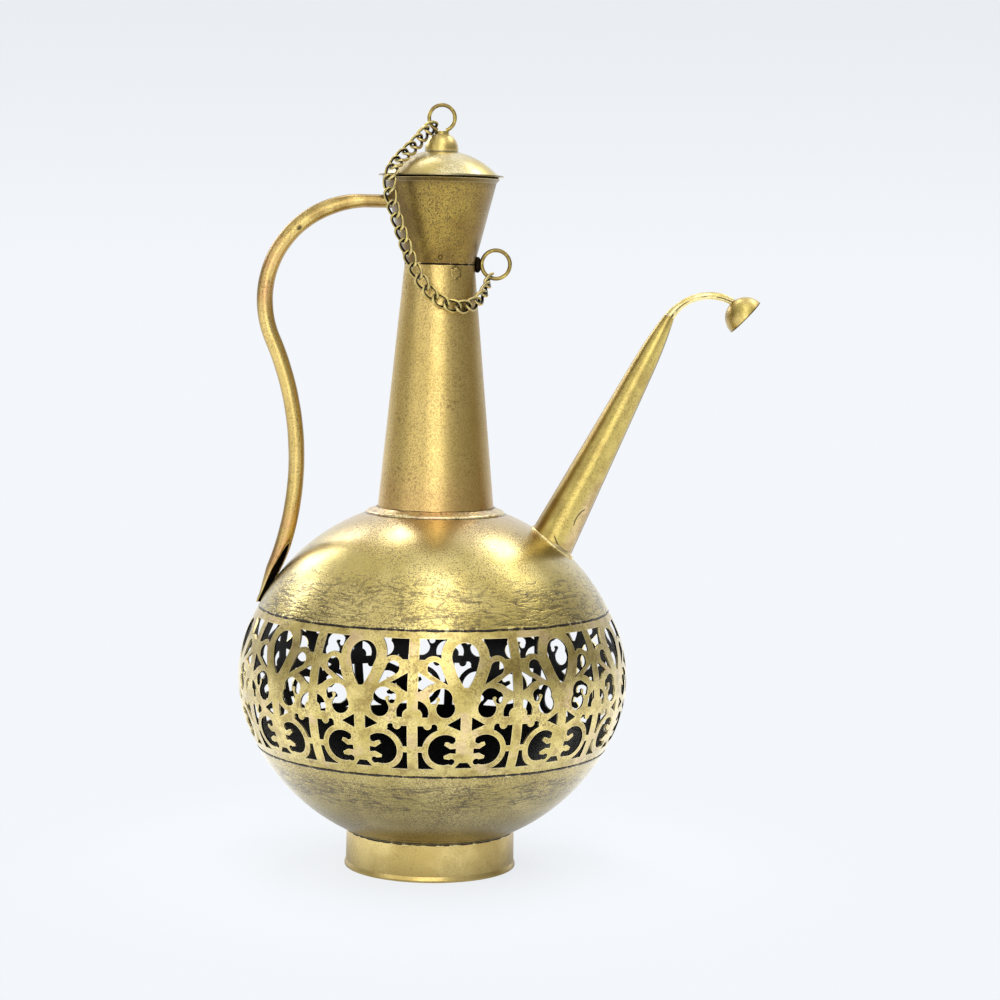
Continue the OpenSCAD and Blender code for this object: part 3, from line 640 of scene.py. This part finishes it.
def cup_finish():
    """Brass cup, with painted shade brown towards its left, and a dark rim."""
    skin = Skin("cup_brass")
    skin.start(OLIVE, GOLD, 12 * MM, shift=69)
    # Painted shade towards the cup's left
    skin.lay(skin.rise(skin.part("X"), CUP_AT.x * MM - 3 * MM, CUP_AT.x * MM - 12 * MM), RUSSET, 0.6)
    skin.grain(0.9 * MM, 0.35)
    skin.spots(1.4 * MM, 0.58, BROWN, 0.6, shift=71)
    rim = skin.vector("DOT_PRODUCT", skin.vector("SUBTRACT", skin.place, CUP_AT * MM), CUP_FACING)
    skin.lay(skin.rise(rim, -1.1 * MM, -0.5 * MM), WARM_BLACK, 0.75)
    return skin.finish(dents=0.1 * MM, dent_size=9 * MM, coat=0.3)


def hollow_shade():
    """Painted shade: the inside of the handle is near-black."""
    skin = Skin("hollow_painted_shade")
    skin.start(NEAR_BLACK, WARM_BLACK, 6 * MM, rough=(0.8, 0.7))
    return skin.finish(dents=0, coat=0.0)


def chain_finish():
    """Links are rubbed bright where they stand out, partly wear and partly painted highlight; their eyes are painted
    black as shade.
    """
    skin = Skin("chain_brass")
    skin.start(CHAIN_GOLD, OLIVE, 5 * MM, shift=8)
    skin.grain(0.8 * MM, 0.4)
    wear_and_painted_light = skin.add("ShaderNodeAttribute", attribute_name="wear_and_painted_light").outputs["Fac"]
    # Painted shade: black in the eyes of the links
    skin.lay(skin.rise(wear_and_painted_light, 0.28, -0.12), NEAR_BLACK)
    # Rubbed wear and painted highlight where the links face out
    skin.lay(skin.rise(wear_and_painted_light, 0.55, 0.95), PALE_GOLD, 0.55)
    return skin.finish(dents=0, coat=0.3)


def solder_finish():
    """Dull black solder of the lug."""
    skin = Skin("lug_solder")
    skin.start(NEAR_BLACK, WARM_BLACK, 3 * MM, shift=10, rough=(0.6, 0.5))
    skin.grain(0.9 * MM, 0.5, colour=WARM_BLACK)
    return skin.finish(dents=0, coat=0.0)


def wear(material, *nodes):
    """Gives CAD nodes a finish."""
    for name in nodes:
        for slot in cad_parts[name].material_slots:
            slot.material = material


def curve_point(points, k, t):
    """One point of a smooth curve through the points, between point k and the next."""
    a, b, c, d = (points[max(0, min(len(points) - 1, i))] for i in (k - 1, k, k + 1, k + 2))
    return 0.5 * (2 * b + t * (c - a) + t * t * (2 * a - 5 * b + 4 * c - d) + t ** 3 * (3 * b - a - 3 * c + d))


def chain_joints():
    """Points between the links, evenly spaced along the chain's line, in metres."""
    route = [Vector(p) for p in CHAIN_ROUTE]
    line = [curve_point(route, k, s / ROUTE_STEPS) for k in range(len(route) - 1) for s in range(ROUTE_STEPS)]
    line.append(route[-1])
    runs = [0.0]
    for a, b in zip(line, line[1:]):
        runs.append(runs[-1] + (b - a).length)
    joints = []
    for j in range(LINK_COUNT + 1):
        along = runs[-1] * j / LINK_COUNT
        i = next(i for i in range(1, len(runs)) if runs[i] >= along - 1e-6)
        joints.append(line[i - 1].lerp(line[i], (along - runs[i - 1]) / (runs[i] - runs[i - 1])) * MM)
    return joints


def share(value, low, high):
    """How far the value is on its way from low to high, from 0 to 1."""
    return max(0.0, min(1.0, (value - low) / (high - low)))


def link_facing(point):
    """The way the flat of a link looks: along the lid ring's wire, to the front on the lid, outwards on the neck."""
    z = point.z / MM
    lid_turn = DRAPE_TURN + (HOOK_TURN - DRAPE_TURN) * share(z, DRAPE_Z, HOOK_Z)
    hang_turn = math.degrees(math.atan2(point.x, -point.y))
    turn = math.radians(hang_turn + share(z, HANG_Z, RIM_Z) * (lid_turn - hang_turn))
    return Vector((math.sin(turn), -math.cos(turn), 0))


def link_tree():
    """Geometry nodes that set one twisted wire link on each point of a mesh."""
    tree = bpy.data.node_groups.new("twisted_links", "GeometryNodeTree")
    face = tree.interface
    face.new_socket("Geometry", in_out="INPUT", socket_type="NodeSocketGeometry")
    for name, kind in (
        ("Half length", "Float"), ("Half width", "Float"), ("Wire radius", "Float"), ("End twist", "Float"),
        ("Roundness", "Float"), ("Rings", "Int"), ("Sides", "Int"), ("Finish", "Material"),
    ):
        face.new_socket(name, in_out="INPUT", socket_type="NodeSocket" + kind)
    face.new_socket("Geometry", in_out="OUTPUT", socket_type="NodeSocketGeometry")

    nodes = Nodes(tree)
    add, number, both = nodes.add, nodes.math, nodes.both
    given = add("NodeGroupInput").outputs
    ring = add("GeometryNodeCurvePrimitiveCircle", {"Resolution": given["Rings"], "Radius": 1}, mode="RADIUS")
    split = add("ShaderNodeSeparateXYZ", {0: add("GeometryNodeInputPosition").outputs[0]}).outputs

    def soft_power(value):
        return both(number("SIGN", value), number("POWER", number("ABSOLUTE", value), given["Roundness"]))

    out = both(soft_power(split["Y"]), given["Half width"])
    twist = both(split["X"], given["End twist"])
    bent = add("ShaderNodeCombineXYZ", {
        "X": both(soft_power(split["X"]), given["Half length"]),
        "Y": both(out, number("COSINE", twist)),
        "Z": both(out, number("SINE", twist)),
    })
    wire_line = add("GeometryNodeSetPosition", {"Geometry": ring.outputs["Curve"], "Position": bent.outputs[0]})
    section = add("GeometryNodeCurvePrimitiveCircle", {
        "Resolution": given["Sides"], "Radius": given["Wire radius"],
    }, mode="RADIUS")
    wire = add("GeometryNodeCurveToMesh", {
        "Curve": wire_line.outputs[0], "Profile Curve": section.outputs["Curve"],
    })
    smooth = add("GeometryNodeSetShadeSmooth", {"Geometry": wire.outputs[0]})

    # How far each point faces out from the link's middle: it sets the painted shade in the eye and the wear and painted
    # highlight outside
    outward = nodes.vector("NORMALIZE", add("GeometryNodeInputPosition").outputs[0])
    wear_and_painted_light = nodes.vector("DOT_PRODUCT", outward, add("GeometryNodeInputNormal").outputs[0])
    marked = add("GeometryNodeStoreNamedAttribute", data_type="FLOAT", domain="POINT", inputs={
        "Geometry": smooth.outputs[0], "Name": "wear_and_painted_light", "Value": wear_and_painted_light,
    })

    along, across = (
        add("GeometryNodeInputNamedAttribute", {"Name": name}, data_type="FLOAT_VECTOR").outputs["Attribute"]
        for name in ("along", "across")
    )
    turned = add("FunctionNodeAxesToRotation", {0: along, 1: across}, primary_axis="X", secondary_axis="Y")
    placed = add("GeometryNodeInstanceOnPoints", {
        "Points": given["Geometry"], "Instance": marked.outputs[0], "Rotation": turned.outputs[0],
    })
    real = add("GeometryNodeRealizeInstances", {0: placed.outputs[0]})
    dressed = add("GeometryNodeSetMaterial", {"Geometry": real.outputs[0], "Material": given["Finish"]})
    add("NodeGroupOutput", {0: dressed.outputs[0]})
    return tree


def chain_piece(name, links, joints, tree, material):
    """Plain mesh of some links of the chain, at rest."""
    half_length = ((joints[1] - joints[0]).length + LINK_WIRE + LINK_GAP) / 2
    middles, along, across = [], [], []
    for i in links:
        a, b = joints[i], joints[i + 1]
        middles.append((a + b) / 2)
        along.append((b - a).normalized())
        across.append(link_facing(middles[-1]).cross(along[-1]).normalized())
    points = bpy.data.meshes.new(name + "_points")
    points.from_pydata(middles, [], [])
    for key, vectors in (("along", along), ("across", across)):
        layer = points.attributes.new(key, "FLOAT_VECTOR", "POINT")
        for i, vector in enumerate(vectors):
            layer.data[i].vector = vector
    piece = bpy.data.objects.new(name, points)
    bpy.context.collection.objects.link(piece)
    maker = piece.modifiers.new("links", "NODES")
    maker.node_group = tree
    sizes = {
        "Half length": half_length, "Half width": (LINK_WIDTH - LINK_WIRE) / 2, "Wire radius": LINK_SKIN / 2,
        "End twist": LINK_TWIST, "Roundness": LINK_ROUND, "Rings": LINK_RINGS, "Sides": LINK_SIDES,
        "Finish": material,
    }
    for item in tree.interface.items_tree:
        if item.in_out == "INPUT" and item.name in sizes:
            maker[item.identifier] = sizes[item.name]
    made = bpy.data.meshes.new_from_object(piece.evaluated_get(bpy.context.evaluated_depsgraph_get()))
    piece.modifiers.remove(maker)
    piece.data = made
    made.name = name
    return piece


def hang_chain():
    """The first links ride on the lid, each of the others on its own body."""
    joints = chain_joints()
    tree = link_tree()
    material = chain_finish()
    groups = [("lid", "chain_on_lid", range(LID_LINKS))]
    groups += [("link_%02d" % (i + 1), "chain_%02d" % (i + 1), [i]) for i in range(LID_LINKS, LINK_COUNT)]
    for body, name, links in groups:
        piece = chain_piece(name, links, joints, tree, material)
        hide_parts(*["chain_link_%02d" % (i + 1) for i in links])
        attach(piece, body)


def uneven(point, size, seed):
    """Smooth rise and fall between -1 and 1."""
    return noise.noise(Vector(point) / size + Vector((seed, seed * 0.7, seed * 1.3)))


def turns(count):
    """Even turns round a circle."""
    return [2 * math.pi * k / count for k in range(count)]


def add_rings(mesh, rings, round_again=False):
    """Adds the skin through rings of points, given in millimetres, to a bmesh; returns its first and last ring."""
    made = [[mesh.verts.new(Vector(p) * MM) for p in ring] for ring in rings]
    pairs = list(zip(made, made[1:]))
    if round_again:
        pairs.append((made[-1], made[0]))
    for first, second in pairs:
        for s in range(len(first)):
            t = (s + 1) % len(first)
            mesh.faces.new((first[s], first[t], second[t], second[s]))
    return made[0], made[-1]


def add_rod(mesh, rings):
    """Adds the skin through rings of points and closes both ends."""
    for end in add_rings(mesh, rings):
        mesh.faces.new(end)


def stand_in(mesh, name, materials, node):
    """Turns a bmesh into a piece of the ewer that stands for a CAD node."""
    bmesh.ops.recalc_face_normals(mesh, faces=mesh.faces)
    for face in mesh.faces:
        face.smooth = True
    data = bpy.data.meshes.new(name)
    mesh.to_mesh(data)
    mesh.free()
    for material in materials:
        data.materials.append(material)
    piece = bpy.data.objects.new(name, data)
    bpy.context.collection.objects.link(piece)
    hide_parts(node)
    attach(piece, "body")


def handle_line():
    """Middle points of the handle, evenly spaced from the funnel to beyond its slanting end."""
    bow_x, bow_z, bow_r = UPPER_BOW
    corners = [Vector((HANDLE_TOP_X, 0, bow_z + bow_r)), Vector((bow_x, 0, bow_z + bow_r))]
    for bow, start, end, steps in (
        (UPPER_BOW, 90, 180 + BOW_TURN, UPPER_STEPS), (LOWER_BOW, BOW_TURN, BOW_END, LOWER_STEPS),
    ):
        x, z, radius = bow
        for k in range(1, steps + 1):
            turn = math.radians(start + (end - start) * k / steps)
            corners.append(Vector((x + radius * math.cos(turn), 0, z + radius * math.sin(turn))))
    heading = (corners[-1] - corners[-2]).normalized()
    taper_from = corners[-1]
    corners.append(taper_from + heading * (TAPER_L + TAPER_PAST))
    line, left = [corners[0]], TUBE_STEP
    for a, b in zip(corners, corners[1:]):
        run = (b - a).length
        at = left
        while at <= run:
            line.append(a.lerp(b, at / run))
            at += TUBE_STEP
        left = at - run
    return line, taper_from


def funnel_meets(point):
    """Moves a point along X on to the middle of the funnel's sheet."""
    reach = FUNNEL_R + (point.z - WAIST / MM) * FUNNEL_SLOPE - FUNNEL_HALF_SHEET
    return Vector((-math.sqrt(max(0.0, reach * reach - point.y * point.y)), point.y, point.z))


def tube_ring(line, k, taper_from, wall):
    """Points round the handle at one station; its top end is beaten flat and pinched below."""
    middle = line[k]
    along = (line[min(k + 1, len(line) - 1)] - line[max(k - 1, 0)]).normalized()
    up = Vector((along.z, 0, -along.x))
    across = Vector((0, 1, 0))
    flat = share(middle.x, FLAT_FROM_X, FLAT_FROM_X + FLAT_RUN) if middle.z > UPPER_BOW[1] else 0.0
    taper = share((middle - taper_from).dot(along), 0, TAPER_L) if k > len(line) / 2 else 0.0
    radius = TUBE_R + (TAPER_R - TUBE_R) * taper - wall
    high = radius + (FLAT_R - TUBE_R) * flat
    wide = radius + FLAT_SPREAD * flat
    ring = []
    for turn in turns(TUBE_SIDES):
        pinch = 1 - PINCH * flat * max(0.0, math.cos(turn - PINCH_TURN)) ** 3
        out = (up * math.cos(turn) * high + across * math.sin(turn) * wide) * pinch
        dent = 1 + 0.016 * uneven(middle + out, 9, 3) + 0.012 * uneven(middle + out, 24, 8)
        ring.append(middle + out * dent)
    return ring


def bend_handle():
    """Tube handle, closed in the funnel and open at its slanting end, where it is hollow."""
    line, taper_from = handle_line()
    mesh = bmesh.new()
    outer = [tube_ring(line, k, taper_from, 0) for k in range(len(line))]
    outer[0] = [funnel_meets(p) for p in outer[0]]
    top, _ = add_rings(mesh, outer)
    mesh.faces.new(top)
    first = len(line) - int(HOLLOW_L / TUBE_STEP)
    inner = [tube_ring(line, k, taper_from, TUBE_WALL) for k in range(first, len(line))]
    mesh.faces.index_update()
    outside = len(mesh.faces)
    deep, _ = add_rings(mesh, inner)
    mesh.faces.new(deep)
    mesh.faces.ensure_lookup_table()
    for face in mesh.faces[outside:]:
        face.material_index = 1
    ends = taper_from + (line[-1] - taper_from).normalized() * TAPER_L
    slant = (ends - SLANT_TOP).normalized()
    square = Vector((-slant.z, 0, slant.x))
    facing = square * math.cos(SLANT_TURN) + Vector((0, -1, 0)) * math.sin(SLANT_TURN)
    bmesh.ops.bisect_plane(
        mesh, geom=mesh.verts[:] + mesh.edges[:] + mesh.faces[:],
        plane_co=SLANT_TOP * MM, plane_no=facing, clear_outer=True,
    )
    rim = [edge for edge in mesh.edges if edge.is_boundary]
    bmesh.ops.bridge_loops(mesh, edges=rim)
    stand_in(mesh, "bent_handle", [handle_finish(), hollow_shade()], "handle_tube")


def bend_stem():
    """Stem from the spout's tip to the cup: beaten a little flat, with a crease along its side."""
    rings, creases = [], []
    for k in range(STEM_STEPS + 1):
        part = k / STEM_STEPS
        turn = math.radians(STEM_FROM + (STEM_TO - STEM_FROM) * part)
        out = Vector((math.cos(turn), 0, math.sin(turn)))
        middle = STEM_BOW + out * STEM_BOW_R
        if (middle - CUP_AT).length < CUP_R - 0.5:
            break
        radius = STEM_FOOT_R + (STEM_R - STEM_FOOT_R) * share(part, 0, STEM_BLEND)
        deep = CREASE_DEPTH * share(part, 0.0, 0.15)
        flat = 1 - STEM_FLAT * share(part, 0.05, 0.3)
        ring = []
        for angle in turns(TUBE_SIDES):
            crease = math.exp(-((math.degrees(angle) - CREASE_TURN) / CREASE_SPREAD) ** 2)
            reach = radius * (1 - deep * crease)
            point = middle + (out * (math.cos(angle) * flat) + Vector((0, 1, 0)) * math.sin(angle)) * reach
            ring.append(point + out * (0.06 * uneven(point, 5, 21)))
            creases.append(crease)
        rings.append(ring)
    mesh = bmesh.new()
    layer = mesh.verts.layers.float.new("crease")
    add_rod(mesh, rings)
    for vert, crease in zip(mesh.verts, creases):
        vert[layer] = crease
    stand_in(mesh, "bent_stem", [stem_finish()], "spout_gooseneck")


def solder_lug():
    """Black lump of solder between the neck and its ring."""
    rings = []
    wide, deep, tall = LUG_HALF
    for k in range(LUG_STEPS + 1):
        height = -1 + 2 * (k + 0.15) / (LUG_STEPS + 0.3)
        full = (1 - abs(height) ** 3) ** 0.4
        ring = []
        for angle in turns(TUBE_SIDES):
            way = Vector((math.cos(angle) * wide * full, math.sin(angle) * deep * full, height * tall))
            ring.append(LUG_AT + way * (1 - 0.10 * abs(uneven(way, 2.2, 17))))
        rings.append(ring)
    mesh = bmesh.new()
    add_rod(mesh, rings)
    stand_in(mesh, "solder_lug", [solder_finish()], "neck_lug")


def on_dome(x, y, proud):
    """Point above the dome's sheet, over a place given in the ground plane."""
    out = Vector((x, y, math.sqrt(DOME_R * DOME_R - x * x - y * y)))
    return Vector((0, 0, DOME_Z)) + out * (1 + proud / DOME_R)


def solder_collar():
    """Lumpy washer round the foot of the neck."""
    rings = []
    for turn in turns(COLLAR_STEPS):
        way = Vector((math.cos(turn), math.sin(turn), 0))
        edge = COLLAR_OUT + 0.55 * uneven(way * COLLAR_OUT, 9, 2) + 0.3 * uneven(way * COLLAR_OUT, 3, 5) - 0.3
        ring = []
        for share_out, proud in COLLAR_SECTION:
            reach = NECK_R + (edge - NECK_R) * share_out
            lump = 0.0
            if proud > 0.5:
                lump = 0.34 * uneven(way * reach, 4.5, 7) + 0.2 * uneven(way * reach, 2.0, 11)
            ring.append(on_dome(way.x * reach, way.y * reach, proud + lump))
        rings.append(ring)
    mesh = bmesh.new()
    add_rings(mesh, rings, round_again=True)
    stand_in(mesh, "solder_collar", [collar_finish()], "neck_collar")


def spout_skirt():
    """Thin beaten skirt that laps the foot of the spout on to the dome."""
    along = Vector((math.sin(SPOUT_LEAN), 0, math.cos(SPOUT_LEAN)))
    side = Vector((math.cos(SPOUT_LEAN), 0, -math.sin(SPOUT_LEAN)))
    centre = Vector((0, 0, DOME_Z))

    def dome_under(turn, reach, proud):
        """Point at one turn and reach about the spout's axis, on the dome's face."""
        foot = SPOUT_AT + side * (math.cos(turn) * reach) + Vector((0, 1, 0)) * (math.sin(turn) * reach)
        gap = foot - centre
        half = gap.dot(along)
        depth = -half + math.sqrt(half * half - gap.length_squared + (DOME_R + proud) ** 2)
        return foot + along * depth, depth

    rings = []
    for turn in turns(SKIRT_STEPS):
        way = Vector((math.cos(turn), math.sin(turn), 0)) * SKIRT_OUT
        _, depth = dome_under(turn, SPOUT_R + 1, 0)
        foot_r = SPOUT_R - SPOUT_SLOPE * depth
        far = share(math.cos(turn), -0.9, 0.3)
        edge = foot_r + 1.3 + (SKIRT_OUT - 0.3 - foot_r - 1.3) * far
        edge += (0.5 * uneven(way, 7, 4) + 0.25 * uneven(way, 2.5, 6)) * far
        rise = 0.5 + (1.9 + 0.9 * uneven(way, 9, 9) + 0.4 * uneven(way, 3, 12)) * far
        ring = []
        for reach, proud, lift in (
            (foot_r - 0.6, -0.4, 0.0), (foot_r - 0.35, 0.0, rise), (foot_r + 0.22, 0.0, rise - 0.25),
            (foot_r + 0.45, 0.6, rise * 0.4), (foot_r + 1.0, 1.1, 0.0), ((foot_r + edge) / 2, 0.95, 0.0),
            (edge - 0.3, 0.8, 0.0), (edge, 0.35, 0.0), (edge - 0.1, -0.4, 0.0),
        ):
            point, _ = dome_under(turn, reach, proud)
            ring.append(point + along * lift + point.normalized() * (0.12 * uneven(point, 2.5, 14)))
        rings.append(ring)
    mesh = bmesh.new()
    add_rings(mesh, rings, round_again=True)
    stand_in(mesh, "spout_skirt", [skirt_finish()], "spout_flange")


def light_room():
    """Pale room all round: the backdrop as it is seen, softer as a light."""
    world = bpy.data.worlds.new("pale_room")
    bpy.context.scene.world = world
    world.use_nodes = True
    nodes = Nodes(world.node_tree, "Generated")
    seen, by_camera = nodes.seen()
    up, back = nodes.part("Z"), nodes.part("Y")
    backdrop = nodes.blend(nodes.rise(up, *BACKDROP_RISE), BACKDROP_LOW, BACKDROP_HIGH)
    around = nodes.blend(nodes.rise(back, *BACK_RISE), ROOM_FRONT, ROOM_BACK)
    around = nodes.blend(nodes.rise(up, *TOP_RISE), around, ROOM_TOP)
    shown = nodes.blend(by_camera, around, backdrop)
    glow = nodes.add("ShaderNodeBackground", {"Color": nodes.blend(seen, ROOM_LIGHT, shown), "Strength": 1})
    nodes.add("ShaderNodeOutputWorld", {"Surface": glow.outputs[0]})


def softbox(name, turn, rise, distance, width, height, power):
    """Area lamp that looks at the middle of the ewer; the turn is counted from the front, to the right."""
    middle = (Vector(cad_box[0]) + Vector(cad_box[1])) / 2
    turn, rise = math.radians(turn), math.radians(rise)
    away = Vector((math.sin(turn) * math.cos(rise), -math.cos(turn) * math.cos(rise), math.sin(rise)))
    lamp = bpy.data.lights.new(name, "AREA")
    lamp.shape = "RECTANGLE"
    lamp.size, lamp.size_y = width, height
    lamp.energy = power
    held = bpy.data.objects.new(name, lamp)
    held.location = middle + away * distance
    held.rotation_euler = (-away).to_track_quat("-Z", "Y").to_euler()
    held.visible_camera = False
    bpy.context.collection.objects.link(held)


def lay_floor():
    """Pale floor that melts into the backdrop and keeps the shadow under the foot."""
    reach = FLOOR_REACH
    mesh = bpy.data.meshes.new("floor")
    corners = [(-reach, -reach, 0), (reach, -reach, 0), (reach, reach, 0), (-reach, reach, 0)]
    mesh.from_pydata(corners, [], [(0, 1, 2, 3)])
    floor = bpy.data.objects.new("floor", mesh)
    bpy.context.collection.objects.link(floor)
    material = bpy.data.materials.new("pale_floor")
    material.use_nodes = True
    nodes = Nodes(material.node_tree, "Object")
    seen, by_camera = nodes.seen()
    away = nodes.vector("LENGTH", nodes.place)
    matt = nodes.add("ShaderNodeBsdfDiffuse", {"Color": BACKDROP_LOW})
    # Painted shade and glow: as the metal sees it, the floor is dim near the foot and brighter than white further off
    mirrored = nodes.rise(away, *FLOOR_PAINTED_SHADE_AND_GLOW)
    level = nodes.add("ShaderNodeMix", {0: by_camera, 2: mirrored, 3: 1}, data_type="FLOAT")
    glow = nodes.add("ShaderNodeEmission", {"Color": BACKDROP_LOW, "Strength": level.outputs[0]})
    shine = nodes.both(seen, nodes.rise(away, *FLOOR_SEEN))
    mix = nodes.add("ShaderNodeMixShader", {0: shine, 1: matt.outputs[0], 2: glow.outputs[0]})
    nodes.add("ShaderNodeOutputMaterial", {"Surface": mix.outputs[0]})
    mesh.materials.append(material)


def set_camera():
    """Camera that stands where the photograph was taken from."""
    data = bpy.data.cameras.new("photo_camera")
    data.lens = LENS
    data.sensor_width = SENSOR
    camera = bpy.data.objects.new("photo_camera", data)
    look = (AIM - EYE).to_track_quat("-Z", "Y").to_matrix().to_4x4()
    camera.matrix_world = Matrix.Translation(EYE) @ look @ Matrix.Rotation(ROLL, 4, "Z")
    bpy.context.collection.objects.link(camera)
    bpy.context.scene.camera = camera


bpy.context.scene.view_settings.view_transform = "Standard"
set_camera()
light_room()
lay_floor()
for box_name, box_setting in SOFTBOXES.items():
    softbox(box_name, *box_setting)

hang_chain()
bend_handle()
bend_stem()
solder_collar()
solder_lug()
spout_skirt()
wear(dome_finish(), "shoulder_dome")
wear(bowl_finish(), "lower_bowl")
wear(band_finish(), "pierced_band")
wear(neck_finish(), "neck_cone")
wear(funnel_finish(), "mouth_funnel", "waist_rivet")
wear(foot_finish(), "foot_ring")
wear(spout_finish(), "spout_cone")
wear(cup_finish(), "spout_cup")
wear(lid_finish("lid_brass", OLIVE, LID_PALE), "lid_cap", "lid_skirt")
wear(lid_finish("knob_brass", SPOUT_GOLD, GOLD), "lid_knob")
wear(ring_finish(), "lid_ring", "neck_ring")
